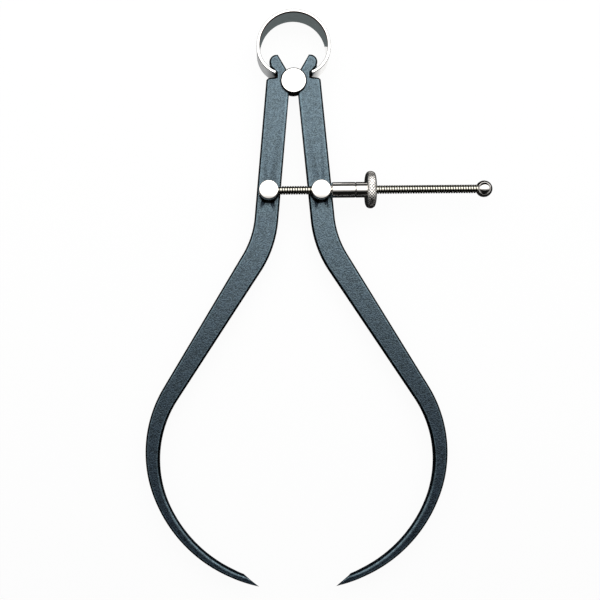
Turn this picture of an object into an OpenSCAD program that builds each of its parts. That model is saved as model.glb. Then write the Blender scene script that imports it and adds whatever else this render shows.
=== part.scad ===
// Outside spring caliper. Two flat bowed legs are seated on a fulcrum stud and pressed onto it by a
// bow spring. A nut on a screw between two swivel posts closes them, and the bow opens them.
// The caliper lies on its back: +Z leaves its front face and +Y runs from the points to the bow.
// The origin is on the fulcrum axis, at the back of the fulcrum stud. Sizes are in millimetres.

/* [Leg] */
// Thickness of the flat leg
leg_t = 3.2; // [2.4:0.1:4.4]
// Space between the two legs, level with the fulcrum
leg_gap = 2.1; // [1.2:0.1:3.6]
// Width of the shank
shank_w = 7.15; // [6:0.05:9]
// Width at the foot of the bend
bend_w = 7.3; // [6:0.1:9]
// Width where the straight thigh runs into the curve
thigh_w = 5.5; // [4:0.1:8]
// Width at the foot of the upper curve
curve_w = 3.3; // [2.4:0.1:6]
// Width of the lower curve at the measuring point
point_w = 1.7; // [1.2:0.1:3]
// Length of the straight shank below the fulcrum
shank_len = 41.4; // [36:0.1:60]
// Lean of the shank away from the middle line, in degrees
shank_lean = 5.3; // [3:0.1:9]
// Radius of the bend, on the leg's centre line
bend_r = 30; // [15:0.5:60]
// Length of the straight thigh below the bend
thigh_len = 46.4; // [20:0.1:90]
// Lean of the thigh away from the middle line, in degrees
thigh_lean = 32.3; // [25:0.1:40]
// Radius of the upper curve, on the leg's centre line
curve_r = 35.5; // [25:0.5:60]
// Angle that the upper curve turns through, in degrees
curve_turn = 53.8; // [40:0.1:65]
// Radius of the lower curve, on the leg's centre line
point_r = 41; // [30:0.5:70]
// Space between the two measuring points as drawn
jaw_gap = 23; // [6:0.5:40]
// Length of the bevel behind the measuring point
bevel_len = 4.2; // [2:0.1:8]

/* [Leg head] */
// Height of the head above the fulcrum
head_h = 8; // [7:0.1:11]
// Angle of the open vee edge to the middle line, in degrees
vee_angle = 30.3; // [26:0.1:36]
// Flat stretch on top of the ear
ear_flat = 0.35; // [0.2:0.05:1]
// Radius of the ear's outer corner
ear_r = 2.2; // [1.6:0.1:3]
// Metal between the fulcrum seat and the bottom of the spring notch
neck_w = 2.5; // [1.8:0.1:3.6]
// Height of the spring notch above the fulcrum
notch_h = 1.9; // [1.2:0.1:2.6]
// Slope of the notch's upper wall, in degrees
notch_up = 46; // [38:1:52]
// Slope of the notch's lower wall, in degrees
notch_down = 8; // [2:1:14]
// Bevel on the shoulder's outer corner, below the notch
shoulder_bevel = 0.5; // [0.2:0.1:1]

/* [Fulcrum stud] */
// Diameter of the waist that the legs are seated on
waist_d = 5.3; // [4:0.1:7]
// Diameter of the two end flanges
stud_d = 7.7; // [7:0.1:11]
// Thickness of each end flange
stud_t = 0.85; // [0.6:0.05:1.6]
// Bevel on the back rim of the stud
stud_bevel = 0.2; // [0.1:0.05:0.4]
// Radius on the front rim of the stud
stud_round = 0.5; // [0.2:0.05:0.55]

/* [Bow spring] */
// Outer radius of the bow
bow_r = 11; // [9.5:0.1:14]
// Thickness of the spring band
bow_t = 0.95; // [0.6:0.05:1.4]
// Width of the spring band, front to back
bow_w = 10; // [6:0.1:14]
// Height of the bow's centre above the fulcrum
bow_rise = 9.5; // [8:0.1:13]
// Angle below the bow's centre where the round runs into the end hooks, in degrees
bow_wrap = 4.5; // [0:0.5:12]

/* [Posts] */
// Distance of the two posts below the fulcrum
post_drop = 33.2; // [28:0.1:38]
// Diameter of a post
post_d = 5.7; // [4.6:0.1:7]
// Height of a post above the legs' front face
post_h = 6; // [5:0.1:9]
// Bevel on a post's front rim
post_bevel = 0.25; // [0.1:0.05:0.6]
// Diameter of the post's neck, which turns in the leg
post_neck_d = 3.2; // [2.4:0.1:4]
// Diameter of the riveted end behind the leg
rivet_d = 4.8; // [4.2:0.1:6]
// Height of the riveted end behind the leg
rivet_t = 0.7; // [0.4:0.1:1.2]

/* [Screw] */
// Diameter over the thread
screw_d = 2.5; // [2:0.1:3.2]
// Distance from the left post to the centre of the ball end
screw_len = 63.8; // [56:0.1:90]
// Wall left of the screw's end in the left post
post_wall = 1.2; // [0.8:0.1:1.8]
// Diameter of the ball end
ball_d = 4.9; // [3.6:0.1:7]
// Length of the flared neck before the ball
ball_neck = 0.8; // [0.4:0.1:2]
// Flare of the neck where it meets the ball
neck_flare = 0.35; // [0.1:0.05:0.6]

/* [Nut and sleeve] */
// Outer diameter of the thrust sleeve and of the nut's hub
sleeve_d = 4.6; // [4:0.1:5.6]
// Length of the thrust sleeve
sleeve_len = 7.3; // [4:0.1:12]
// Bevel on the sleeve's end at the post
sleeve_bevel = 0.5; // [0.2:0.05:0.8]
// Length of the nut's hub
hub_len = 3; // [1.5:0.1:6]
// Diameter of the nut's finger flange
flange_d = 11.1; // [8:0.1:16]
// Width of the nut's finger flange
flange_w = 2.9; // [2.7:0.1:5]
// Radius on the rim of the finger flange
flange_r = 1.3; // [0.3:0.05:1.35]
// Bevel on either side of the joint between sleeve and hub
joint_bevel = 0.15; // [0.05:0.05:0.3]

/* [Fits] */
// Running clearance all round on a turning or sliding fit
run_fit = 0.05; // [0.02:0.01:0.08]
// Clearance between faces that slide on each other
face_fit = 0.05; // [0.03:0.01:0.1]
// Clearance of the spring band in its notch
notch_fit = 0.1; // [0.05:0.01:0.2]

/* [Hidden] */

BLACK_STEEL = [0.20, 0.24, 0.28];
BRIGHT_STEEL = [0.80, 0.80, 0.78];
arc_step = 1.5;
rim_steps = 6;
ear_steps = 24;
bow_steps = 96;
hook_steps = 24;
cut_over = 1;
$fn = 96;

// Levels, from the back of the stud forwards
leg_back = stud_t + face_fit;
leg_front = leg_back + leg_t;
leg_mid = leg_back + leg_t / 2;
stud_front = leg_front + face_fit + stud_t;
screw_z = leg_front + post_h / 2;

// Round pieces that work together
seat_r = waist_d / 2 + run_fit;
screw_r = screw_d / 2;
screw_bore_r = screw_r + run_fit;
post_r = post_d / 2;
sleeve_r = sleeve_d / 2;

// Directions on the right leg, at a lean in degrees: down along the leg, and across it, outwards
function down_leg(lean) = [sin(lean), -cos(lean)];
function across_leg(lean) = [cos(lean), sin(lean)];
function arc_length(r, turn) = r * turn * PI / 180;
function mix(a, b, t) = a + (b - a) * t;

// A point on a stretch of the centre line that starts at p and turns outwards by turn degrees
function along(p, lean, length, turn, t) =
    turn == 0
        ? p + t * length * down_leg(lean)
        : p + length * 180 / (PI * turn) * (across_leg(lean) - across_leg(lean + t * turn));

// Centre line of the shank: level with the fulcrum, and anywhere below it
shank_top = [leg_gap / 2 + shank_w / 2 / cos(shank_lean), 0];
function shank_middle(drop) = shank_top + drop * [tan(shank_lean), -1];
post_x = shank_middle(post_drop)[0];

// Bend, thigh and upper curve, as lengths, turns and the width at their ends
bend_turn = thigh_lean - shank_lean;
upper_stretches = [
    [shank_len, 0, shank_w],
    [arc_length(bend_r, bend_turn), bend_turn, bend_w],
    [thigh_len, 0, thigh_w],
    [arc_length(curve_r, curve_turn), -curve_turn, curve_w]
];
function walk_end(stretches, p, lean, i = 0) =
    i == len(stretches)
        ? [p, lean]
        : let (s = stretches[i])
            walk_end(stretches, along(p, lean, s[0], s[1], 1), lean + s[1], i + 1);

// The lower curve ends where the outer edge comes down to half the jaw gap
upper_end = walk_end(upper_stretches, shank_top, shank_lean);
point_lean = -acos(
    (jaw_gap / 2 - upper_end[0][0] + point_r * cos(upper_end[1])) / (point_r + point_w / 2)
);
bevel_turn = bevel_len / point_r * 180 / PI;
lower_turn = upper_end[1] - point_lean - bevel_turn;
bevel_w = mix(curve_w, point_w, lower_turn / (lower_turn + bevel_turn));
lower_curve = [arc_length(point_r, lower_turn), -lower_turn, bevel_w];
bevelled_end = [arc_length(point_r, bevel_turn), -bevel_turn, point_w];

// Stations down the leg: centre, lean and width
function stations(stretches, p, lean, w, i = 0) =
    i == len(stretches)
        ? []
        : let (
            s = stretches[i],
            steps = max(1, ceil(abs(s[1]) / arc_step))
        )
            concat(
                [for (k = [1:steps]) let (t = k / steps)
                    [along(p, lean, s[0], s[1], t), lean + t * s[1], mix(w, s[2], t)]],
                stations(stretches, along(p, lean, s[0], s[1], 1), lean + s[1], s[2], i + 1)
            );
top_station = [[shank_top, shank_lean, shank_w]];
to_bevel = concat(
    top_station, stations(concat(upper_stretches, [lower_curve]), shank_top, shank_lean, shank_w)
);
to_point = concat(
    top_station,
    stations(concat(upper_stretches, [lower_curve, bevelled_end]), shank_top, shank_lean, shank_w)
);
outer_edge = [for (s = to_point) s[0] + across_leg(s[1]) * s[2] / 2];
inner_edge = [for (s = to_bevel) s[0] - across_leg(s[1]) * s[2] / 2];
function reversed(list) = [for (i = [len(list) - 1:-1:0]) list[i]];
// Points on an arc. A first of 1 leaves out its start, where it follows on from another arc
function arc(centre, r, from, to, steps, first = 0) =
    [for (k = [first:steps]) let (a = mix(from, to, k / steps)) centre + r * [cos(a), sin(a)]];

// Head: vee edge, rounded ear, and the notch that the bow's end hooks into
vee_top = head_h * [tan(vee_angle), 1];
ear_centre = [vee_top[0] + ear_flat, head_h - ear_r];
ear_lip_angle = -25;
head_edge = concat([[0, 0], vee_top], arc(ear_centre, ear_r, 90, ear_lip_angle, ear_steps));
notch_x = seat_r + neck_w;
notch_gap = bow_t + 2 * notch_fit;
notch_reach = shank_w + head_h;
notch_low = [notch_x, notch_h - notch_gap / 2];
notch_high = [notch_x, notch_h + notch_gap / 2];

// Shoulder below the notch: its top slopes down to the outer edge, which comes straight down from the ear
function cross_z(a, b) = a[0] * b[1] - a[1] * b[0];
shoulder_top = [cos(notch_down), -sin(notch_down)];
ear_end = head_edge[len(head_edge) - 1];
shoulder_side = (outer_edge[0] - ear_end) / norm(outer_edge[0] - ear_end);
shoulder_corner = notch_low
    + shoulder_top * cross_z(ear_end - notch_low, shoulder_side) / cross_z(shoulder_top, shoulder_side);
bevel_start = shoulder_corner - shoulder_bevel * shoulder_top;
// The bevel's cut runs on as far again, past the outer edge
bevel_end = bevel_start + 2 * shoulder_bevel * (shoulder_top + shoulder_side);

// Bow: a round that runs into two tangent hooks, whose ends sit in the notches
bow_mid_r = bow_r - bow_t / 2;
bow_centre = [0, bow_rise];
hook_start = bow_centre + bow_mid_r * [cos(bow_wrap), -sin(bow_wrap)];
hook_inward = [-cos(bow_wrap), sin(bow_wrap)];
hook_end = [notch_x + notch_fit + bow_t / 4, notch_h];
hook_chord = hook_end - hook_start;
hook_r = (hook_chord * hook_chord) / (2 * hook_inward * hook_chord);
hook_centre = hook_start + hook_r * hook_inward;
hook_turn = 2 * asin(norm(hook_chord) / (2 * hook_r));
function bow_edge(side) = concat(
    arc(hook_centre, hook_r + side, -bow_wrap - hook_turn, -bow_wrap, hook_steps),
    arc(bow_centre, bow_mid_r + side, -bow_wrap, 180 + bow_wrap, bow_steps, 1),
    arc([-hook_centre[0], hook_centre[1]], hook_r + side, 180 + bow_wrap,
        180 + bow_wrap + hook_turn, hook_steps, 1)
);

// Along the screw, from the middle line to the right
sleeve_x = post_x + post_r + face_fit;
nut_x = sleeve_x + sleeve_len + face_fit;
flange_x = nut_x + hub_len;
nut_end_x = flange_x + flange_w;
screw_start_x = -post_x - post_r + post_wall;
ball_x = -post_x + screw_len;
ball_r = ball_d / 2;
neck_r = screw_r + neck_flare;
neck_end_x = ball_x - sqrt(ball_r * ball_r - neck_r * neck_r);

// A turned piece on the screw's axis, from a profile of [distance along the screw, radius]
module on_screw(profile) {
    translate([0, -post_drop, screw_z])
        rotate([90, 0, 90])
            rotate_extrude()
                polygon([for (p = profile) [p[1], p[0]]]);
}

module right_leg_blank() {
    translate([0, 0, leg_back])
        linear_extrude(leg_t)
            polygon(concat(head_edge, outer_edge, reversed(inner_edge)));
}

module spring_notch() {
    translate([0, 0, leg_back - cut_over])
        linear_extrude(leg_t + 2 * cut_over)
            polygon([
                notch_low,
                bevel_start,
                bevel_end,
                bevel_end + [notch_reach, 0],
                notch_high + notch_reach * [cos(notch_up), sin(notch_up)],
                notch_high
            ]);
}

module leg() {
    color(BLACK_STEEL)
        difference() {
            right_leg_blank();
            spring_notch();
            translate([0, 0, leg_back - cut_over])
                cylinder(r = seat_r, h = leg_t + 2 * cut_over);
            translate([post_x, -post_drop, leg_back - cut_over])
                cylinder(d = post_neck_d + 2 * run_fit, h = leg_t + 2 * cut_over);
        }
}

module right_leg() {
    leg();
}

module left_leg() {
    mirror([1, 0, 0])
        leg();
}

module bow_spring() {
    color(BRIGHT_STEEL)
        translate([0, 0, leg_mid - bow_w / 2])
            linear_extrude(bow_w)
                polygon(concat(bow_edge(bow_t / 2), reversed(bow_edge(-bow_t / 2))));
}

module fulcrum_stud() {
    rim = stud_d / 2;
    waist = waist_d / 2;
    front_rim = arc([rim - stud_round, stud_front - stud_round], stud_round, 0, 90, rim_steps);
    color(BRIGHT_STEEL)
        rotate_extrude()
            polygon(concat(
                [
                    [0, 0],
                    [rim - stud_bevel, 0],
                    [rim, stud_bevel],
                    [rim, stud_t],
                    [waist, stud_t],
                    [waist, stud_front - stud_t],
                    [rim, stud_front - stud_t]
                ],
                front_rim,
                [[0, stud_front]]
            ));
}

// A turned post with a front head, a neck through the leg and a riveted end behind it
module post_blank(x) {
    neck = post_neck_d / 2;
    rivet = rivet_d / 2;
    rivet_front = leg_back - face_fit;
    rivet_back = rivet_front - rivet_t;
    head_back = leg_front + face_fit;
    head_front = leg_front + post_h;
    translate([x, -post_drop, 0])
        rotate_extrude()
            polygon([
                [0, rivet_back],
                [rivet - rivet_t / 2, rivet_back],
                [rivet, rivet_front - rivet_t / 2],
                [rivet, rivet_front],
                [neck, rivet_front],
                [neck, head_back],
                [post_r, head_back],
                [post_r, head_front - post_bevel],
                [post_r - post_bevel, head_front],
                [0, head_front]
            ]);
}

// A hole along the screw's axis, from one place to another
module screw_hole(from, to) {
    translate([from, -post_drop, screw_z])
        rotate([0, 90, 0])
            cylinder(r = screw_bore_r, h = to - from);
}

module screw_post() {
    color(BRIGHT_STEEL)
        difference() {
            post_blank(-post_x);
            screw_hole(screw_start_x - face_fit, -post_x + post_r + cut_over);
        }
}

module nut_post() {
    color(BRIGHT_STEEL)
        difference() {
            post_blank(post_x);
            screw_hole(post_x - post_r - cut_over, post_x + post_r + cut_over);
        }
}

module adjusting_screw() {
    color(BRIGHT_STEEL)
        union() {
            on_screw([
                [screw_start_x, 0],
                [screw_start_x, screw_r],
                [neck_end_x - ball_neck, screw_r],
                [neck_end_x, neck_r],
                [ball_x, neck_r],
                [ball_x, 0]
            ]);
            translate([ball_x, -post_drop, screw_z])
                sphere(d = ball_d);
        }
}

module thrust_sleeve() {
    color(BRIGHT_STEEL)
        on_screw([
            [sleeve_x, screw_bore_r],
            [sleeve_x, sleeve_r - sleeve_bevel],
            [sleeve_x + sleeve_bevel, sleeve_r],
            [sleeve_x + sleeve_len - joint_bevel, sleeve_r],
            [sleeve_x + sleeve_len, sleeve_r - joint_bevel],
            [sleeve_x + sleeve_len, screw_bore_r]
        ]);
}

module adjusting_nut() {
    rim_r = flange_d / 2 - flange_r;
    near_rim = arc([flange_x + flange_r, rim_r], flange_r, 180, 90, rim_steps);
    far_rim = arc([nut_end_x - flange_r, rim_r], flange_r, 90, 0, rim_steps);
    color(BRIGHT_STEEL)
        on_screw(concat(
            [
                [nut_x, screw_bore_r],
                [nut_x, sleeve_r - joint_bevel],
                [nut_x + joint_bevel, sleeve_r],
                [flange_x, sleeve_r]
            ],
            near_rim,
            far_rim,
            [[nut_end_x, screw_bore_r]]
        ));
}

left_leg();
right_leg();
bow_spring();
fulcrum_stud();
screw_post();
nut_post();
adjusting_screw();
thrust_sleeve();
adjusting_nut();
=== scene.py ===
from math import atan2, cos, degrees, hypot, pi, radians, sin, tan

import bmesh
import bpy
from mathutils import Matrix, Vector
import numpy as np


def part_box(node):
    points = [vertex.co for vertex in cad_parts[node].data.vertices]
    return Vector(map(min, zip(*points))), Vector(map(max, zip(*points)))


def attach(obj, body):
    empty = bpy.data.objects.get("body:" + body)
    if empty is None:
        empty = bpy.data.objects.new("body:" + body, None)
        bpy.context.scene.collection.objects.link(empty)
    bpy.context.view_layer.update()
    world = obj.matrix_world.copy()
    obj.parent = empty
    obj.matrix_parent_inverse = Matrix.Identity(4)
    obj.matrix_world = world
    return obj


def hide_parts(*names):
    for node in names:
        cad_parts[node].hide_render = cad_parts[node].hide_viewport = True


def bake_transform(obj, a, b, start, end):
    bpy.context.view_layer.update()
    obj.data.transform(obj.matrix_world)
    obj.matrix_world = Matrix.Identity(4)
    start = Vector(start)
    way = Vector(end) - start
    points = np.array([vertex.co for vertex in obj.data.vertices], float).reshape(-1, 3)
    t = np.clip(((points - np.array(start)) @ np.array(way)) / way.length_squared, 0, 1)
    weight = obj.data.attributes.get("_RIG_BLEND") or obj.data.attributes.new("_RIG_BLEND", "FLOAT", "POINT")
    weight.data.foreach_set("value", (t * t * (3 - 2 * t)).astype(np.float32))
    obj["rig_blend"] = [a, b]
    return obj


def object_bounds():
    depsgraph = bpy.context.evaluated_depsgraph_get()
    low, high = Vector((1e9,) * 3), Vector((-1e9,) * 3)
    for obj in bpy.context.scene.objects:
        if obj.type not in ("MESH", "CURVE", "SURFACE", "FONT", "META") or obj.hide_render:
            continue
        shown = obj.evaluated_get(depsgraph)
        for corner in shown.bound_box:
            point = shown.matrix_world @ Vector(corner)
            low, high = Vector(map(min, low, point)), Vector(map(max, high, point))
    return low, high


# Outside spring caliper: rounded black legs, a bright bow, turned posts, a cut thread and a knurled nut.
# The frame gives every place and main size. Sizes here are in metres, small ones as millimetres times MM.
MM = 0.001
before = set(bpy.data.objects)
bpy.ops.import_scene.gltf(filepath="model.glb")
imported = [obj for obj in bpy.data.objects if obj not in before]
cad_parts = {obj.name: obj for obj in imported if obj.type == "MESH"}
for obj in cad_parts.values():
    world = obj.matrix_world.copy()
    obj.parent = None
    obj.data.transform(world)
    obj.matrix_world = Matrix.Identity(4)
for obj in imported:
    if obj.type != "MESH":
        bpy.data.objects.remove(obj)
cad_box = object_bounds()

# Photograph: its frame, its scale on the front of the legs, and where the lens looked
PHOTO_SIDE = 600
METRES_PER_PIXEL = 0.2997 * MM
FULCRUM_PIXEL = Vector((293.6, 80.75))
LENS_AXIS_PIXEL = Vector((267, 300))
EYE_DISTANCE = 275 * MM
CAMERA_ROLL = radians(-0.463)
SENSOR = 36

# Lamp, in metres from the fulcrum: its edges, its levels, and its falls
BOX = {"left": -0.90, "right": 0.75, "near": -0.17, "far": 0.38}
BOX_HEIGHT = 0.30
BOX_CORE = 3
BOX_EDGE = 0.42

# Each fall: along which axis, where it is dimmest, where it is full, and the share left at its dim end
BOX_FALLS = (
    ("X", -0.35, 0.03, 0.45),
    ("X", 0.28, 0.18, 0.45),
    ("Y", -0.10, 0.02, 0.0),
    ("Y", 0.38, 0.24, 0.0),
)

# Room, floor and the cloth round them
WHITE = (1, 1, 1, 1)
BLACK = (0, 0, 0, 1)
ROOM_TONE = (0.1, 0.1, 0.1, 1)
FLOOR_SIDE = 6
FLOOR_TONE = (0.9, 0.9, 0.9, 1)
FLOOR_ROUGH = 0.9
FLOOR_SHADOW = 0.06
CLOTH_RADIUS = 2.5
CLOTH_STEPS = 16
CLOTH_TONE = (0.007, 0.007, 0.007, 1)
HORIZON_TONE = (0.4, 0.4, 0.4, 1)
HORIZON_RISE = (0.05, 0.42)
HORIZON_ASIDE = (0.4, 0.7)
CARD_LIFT = 0.02 * MM

# Cards under the tool, each over the one before: left, right, near and far edges, and tone. Their tones are
# painted shade and light of the floor for the metal to reflect: darkest in front, dim under the head, grey
# inside the bow and pale beside it.
CARDS = {
    "dark_card": (-0.3, 0.3, -0.4, -0.008, (0.012, 0.012, 0.012, 1)),
    "grey_card": (-0.1, 0.1, -0.008, 0.021, (0.05, 0.036, 0.03, 1)),
    "bow_card": (-0.012, 0.0105, 0.0118, 0.0205, (0.12, 0.14, 0.145, 1)),
    "left_card": (-0.016, -0.006, -0.006, 0.0118, (0.42, 0.43, 0.44, 1)),
    "right_card": (0.0065, 0.016, -0.006, 0.0118, WHITE),
}

# Mesh steps
WELD = 0.0005 * MM
FLAT_ANGLE = radians(0.4)
SHARP_ANGLE = radians(38)
FLAT_WEIGHT = 100
ROUND_STEPS = 3
TURNED_ROUND = 0.08 * MM
LATHE_STEPS = 96

# Legs
LEG_EDGE = 0.7 * MM
LEG_STEPS = 5
RIM_WIDTH = 0.2 * MM
MITRE = 1.6
CORNER_TURN = radians(20)
CORNER_SPARE = 1.25
CORNER_REACH = 1 * MM
TIP_SOFT = 0.2
TIP_REACH = 9 * MM
TIP_SLANT = 0.8
OUTLINE_PLACES = ("corner", "inward")
OUTLINE_SHARES = ("soft", "wear_and_highlight")

# Bow
BAND_EDGE = 0.3 * MM
BAND_WALL_TILT = 0.5
HOOK_REACH = 0.2 * MM
BOW_TOP_SHARE = 0.985
BOW_TOP_REACH = 1 * MM

# Stud and posts
STUD_WAIST = 2.65 * MM
STUD_FLANGE = 0.85 * MM
STUD_ROUND = 0.5 * MM
STUD_BEVEL = 0.2 * MM
STUD_STEPS = 6
STUD_SOFT = 0.05 * MM
POST_NECK = 1.6 * MM
POST_ROUND = 0.3 * MM
RIVET_RADIUS = 2.4 * MM
FACE_FIT = 0.05 * MM
DRILL_REACH = 4

# Screw, sleeve and nut
SCREW_RADIUS = 1.25 * MM
SCREW_FIT = 0.05 * MM
THREAD_PITCH = 0.753 * MM
THREAD_DEPTH = 0.4 * MM
THREAD_ROOT = SCREW_RADIUS - THREAD_DEPTH
THREAD_FLAT = 0.29
THREAD_STEPS = 24
THREAD_WELD = 4 * WELD
THREAD_SHARP = radians(20)
BALL_RADIUS = 2.45 * MM
BALL_STEPS = 32
NECK_LAP = 1 * MM
SLEEVE_BEVEL = 0.5 * MM
JOINT_BEVEL = 0.15 * MM
HUB_LENGTH = 3 * MM
FLANGE_ROUND = 1.3 * MM
KNURL_TEETH = 40
KNURL_CELL = 0.87 * MM
KNURL_SAMPLES = 8
KNURL_ROWS = 4
KNURL_CORNER_STEPS = 16
KNURL_DEPTH = 0.17 * MM
KNURL_FADE = 0.25

# Effects: the bands of a noise that they keep, and how ragged they are
SPECKLE_BAND = (0.3, 0.7)
BLOTCH_BAND = (0.34, 0.66)
MARK_FADE = 0.1
RING_WAVER = 4.0
OIL_RAGGED = 2600
SHADOW_RAGGED = 1800

# Black finish. Its bands run over the rounded edge, from 0 on the face to 1 on the wall
COAT_DARK = (0.004, 0.006, 0.010, 1)
COAT_PALE = (0.028, 0.044, 0.066, 1)
# Paler rim colour: partly rubbed wear, partly painted highlight
COAT_WEAR_AND_HIGHLIGHT = (0.08, 0.12, 0.145, 1)
# Painted shade: dark, dull tone for the edge walls and for the rings round the stud and posts
COAT_PAINTED_SHADE = (0.004, 0.005, 0.006, 1)
COAT_GLEAM = (0.68, 0.91, 1, 1)
COAT_IOR = 1.95
COAT_ROUGH = (0.25, 0.18)
COAT_MARK = 0.06
COAT_RELIEF = 0.025 * MM
BLOTCH_RELIEF = 0.25
SPECKLE_SHARE = 0.6
PIT_SHARE = 0.55
# The paler rim band: partly wear in patches, partly painted highlight that widens on inner edges facing the
# lamp
WEAR_HIGHLIGHT_SHARE = 0.2
WEAR_HIGHLIGHT_END = 0.34
WEAR_HIGHLIGHT_PATCHES = (0.1, 0.9, 0.45, 1.0)
WEAR_HIGHLIGHT_STEPS = 3
HIGHLIGHT_TURN = 0.5
RIM_BAND = (0.24, 0.42)
WALL_FROM = 0.6
WALL_SHARE = 0.5
# Painted shadow round the stud and below each post: its spread, and how far it sags downwards
SHADOW_SPREAD = 0.4 * MM
SHADOW_SAG = 0.5 * MM

# Bright turned finish
NICKEL_CLEAN = (0.93, 0.90, 0.86, 1)
NICKEL_DULL = (0.86, 0.82, 0.77, 1)
NICKEL_ROUGH = (0.04, 0.09)
NICKEL_MARK = 0.06
KNURL_DULL = 0.06
GROOVE_BAND = (0.8, 1.0)
RING_DEPTH = 0.0002 * MM
FACE_RING_DEPTH = 0.0004 * MM
# Dark bands on turned pieces: their tone, roughness and edge, and how far they reach. They are painted shade
# on the stud, down to just under its front face, and on each post's foot, up to a little above the leg; at
# the sleeve's joint they are real oil. The knurl grooves take the same tone
OIL_AND_SHADE_TONE = (0.006, 0.0045, 0.004, 1)
OIL_ROUGH = 0.25
OIL_EDGE = 0.1 * MM
STUD_SHADE_MARGIN = 0.07 * MM
POST_SHADE_RISE = 1.4 * MM
JOINT_OIL = 0.16 * MM

# Thread's finish
CREST_TONE = (0.5, 0.48, 0.41, 1)
CREST_BAND = (0.1, 0.75)
ROOT_DARK = (0.012, 0.009, 0.008, 1)
ROOT_PALE = (0.05, 0.035, 0.03, 1)
THREAD_ROUGH = (0.22, 0.09)
THREAD_MARK = 0.1
THREAD_RELIEF = 0.001 * MM

# Bow's finish
STRIP_CLEAN = (0.86, 0.85, 0.83, 1)
STRIP_DULL = (0.76, 0.75, 0.72, 1)
# Painted shade on the hooks where they sit in the notches
STRIP_NOTCH_SHADE = (0.01, 0.008, 0.007, 1)
# Painted shade along the bow's inner front edge near its top
STRIP_INNER_SHADE = (0.05, 0.014, 0.006, 1)
STRIP_LINES = 5200
STRIP_BAND = (0.3, 0.7)
STRIP_STRETCH = (0.06, 0.06, 1.0)
STRIP_ROUGH = (0.12, 0.22)
STRIP_MARK = 0.08
STRIP_RELIEF = 0.0015 * MM
STRIP_SPECKLE = 0.5
# Where the painted shade on the bow's inner edge lies: its width, its depth from the front, its softness and
# the rise over which it comes in
BROWN_WIDTH = 0.4 * MM
BROWN_DEPTH = 0.8 * MM
BROWN_SOFT = (0.6, 0.5)
BROWN_RISE = (7 * MM, 14 * MM)
HOOK_SHADE = (1.2 * MM, 3.4 * MM)


# Mesh tools

def finish_mesh(name, bm, material, sharp=SHARP_ANGLE):
    """An object of a finished bmesh, smooth shaded but for its sharp edges."""
    mesh = bpy.data.meshes.new(name)
    bm.to_mesh(mesh)
    bm.free()
    mesh.polygons.foreach_set("use_smooth", [True] * len(mesh.polygons))
    mesh.set_sharp_from_angle(angle=sharp)
    if material:
        mesh.materials.append(material)
    piece = bpy.data.objects.new(name, mesh)
    bpy.context.scene.collection.objects.link(piece)
    return piece


def keep_flats_flat(piece):
    """Shades the wide faces as flat and leaves the turning of the light to the rounded edges."""
    weighted = piece.modifiers.new("flat_faces", "WEIGHTED_NORMAL")
    weighted.keep_sharp = True
    weighted.weight = FLAT_WEIGHT


def welded_copy(node):
    """A copy of a frame piece with its triangles welded."""
    bm = bmesh.new()
    bm.from_mesh(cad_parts[node].data)
    bmesh.ops.remove_doubles(bm, verts=bm.verts, dist=WELD)
    return bm


def everything(bm):
    return bm.verts[:] + bm.edges[:] + bm.faces[:]


def new_verts(geometry):
    """The vertices among what an operator made."""
    return [v for v in geometry if isinstance(v, bmesh.types.BMVert)]


def end_points(edges):
    """The vertices of some edges, each one once and in order."""
    return list(dict.fromkeys(v for e in edges for v in e.verts))


def level_rims(bm):
    """The edges where a flat front or back face meets a wall."""
    return [
        e for e in bm.edges
        if e.is_manifold
        and abs(e.verts[0].co.z - e.verts[1].co.z) < WELD
        and e.calc_face_angle() > SHARP_ANGLE
    ]


def join_up(bm, points):
    """Edges from each point to the next."""
    for pair in zip(points, points[1:]):
        bm.edges.new(pair)


def turned(profile, place, rounding=TURNED_ROUND, steps=LATHE_STEPS):
    """A turned bmesh from a profile of (distance along the axis, radius). place carries +Z to that axis."""
    bm = bmesh.new()
    points = [bm.verts.new((radius, 0, along)) for along, radius in profile]
    join_up(bm, points)
    if rounding:
        bmesh.ops.bevel(
            bm, geom=points[1:-1], offset=rounding, segments=ROUND_STEPS, profile=0.5,
            affect="VERTICES", clamp_overlap=True, material=-1,
        )
    bmesh.ops.spin(
        bm, geom=bm.verts[:] + bm.edges[:], cent=(0, 0, 0), axis=(0, 0, 1), dvec=(0, 0, 0),
        angle=2 * pi, steps=steps, use_merge=True, use_duplicate=False,
    )
    bmesh.ops.remove_doubles(bm, verts=bm.verts, dist=WELD)
    bmesh.ops.recalc_face_normals(bm, faces=bm.faces)
    bmesh.ops.transform(bm, matrix=place, verts=bm.verts)
    return bm


def arc(centre, radius, start, end, steps):
    """Profile points on an arc, with angles in degrees."""
    angles = [radians(start + (end - start) * k / steps) for k in range(steps + 1)]
    return [(centre[0] + radius * cos(a), centre[1] + radius * sin(a)) for a in angles]


def drilled(solid, drill):
    """What is left of one mesh after another is cut out of it. Both objects are used up."""
    cut = solid.modifiers.new("bore", "BOOLEAN")
    cut.object = drill
    cut.operation = "DIFFERENCE"
    cut.solver = "EXACT"
    bpy.context.view_layer.update()
    bm = bmesh.new()
    bm.from_object(solid, bpy.context.evaluated_depsgraph_get())
    for used in (solid, drill):
        mesh = used.data
        bpy.data.objects.remove(used)
        bpy.data.meshes.remove(mesh)
    return bm


# Places that the frame gives

def post_place(node):
    """The upright axis of a post."""
    low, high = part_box(node)
    return Matrix.Translation(((low.x + high.x) / 2, (low.y + high.y) / 2, 0))


sleeve_low, sleeve_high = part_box("thrust_sleeve")
nut_low, nut_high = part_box("adjusting_nut")
screw_low, screw_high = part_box("adjusting_screw")
leg_low, leg_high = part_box("right_leg")
bow_low, bow_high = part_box("bow_spring")
stud_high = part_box("fulcrum_stud")[1]
post_low, post_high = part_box("nut_post")
post_radius = (post_high.x - post_low.x) / 2
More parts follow.
